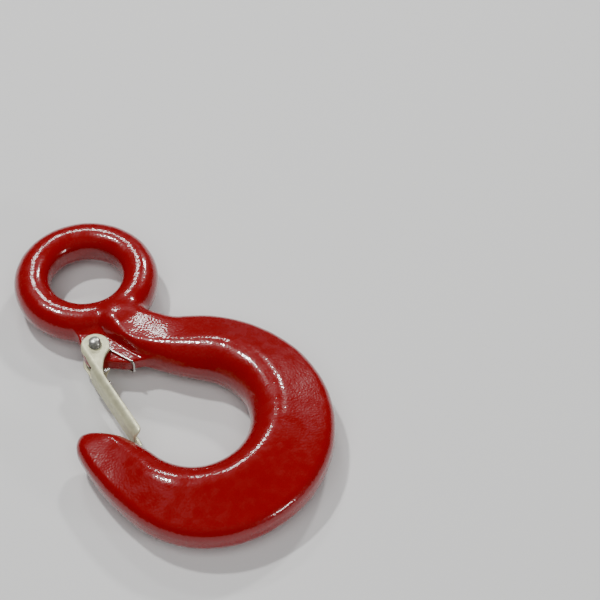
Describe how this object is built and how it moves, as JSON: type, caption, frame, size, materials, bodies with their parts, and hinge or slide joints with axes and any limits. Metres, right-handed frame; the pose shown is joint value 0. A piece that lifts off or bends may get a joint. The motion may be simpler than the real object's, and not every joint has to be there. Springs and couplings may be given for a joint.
{
  "type": "eye hoist hook",
  "caption": "Forged eye hoist hook in red paint with a sprung sheet-steel safety latch that closes its throat and opens inwards.",
  "frame": {"origin": "centre of the eye's bore on the forging's parting plane", "axes": "the hook lies flat: +Y along the load line towards the eye's crown, +X towards the hook's back, away from its throat, +Z out of the hook's plane along the eye's bore"},
  "size_m": [0.063, 0.1095, 0.0144],
  "materials": {
    "red_paint": "glossy dipped red paint with orange peel on a forging",
    "latch_zinc": "satin zinc plate, slightly yellow",
    "bolt_zinc": "bright zinc plate",
    "spring_wire": "bright drawn spring wire"
  },
  "bodies": {
    "hook": {"hook_body": "red_paint", "latch_spring": "spring_wire"},
    "latch": {"latch": "latch_zinc", "latch_bolt": "bolt_zinc"}
  },
  "joints": [
    {"name": "latch_pivot", "type": "hinge", "parent": "hook", "child": "latch", "pos_m": [-0.0093, -0.0229, 0], "axis": [0, 0, 1], "range_deg": [0, 45], "stiffness_Nm_per_rad": 0.03, "springref_deg": -45.84, "deforming": ["latch_spring"]}
  ]
}
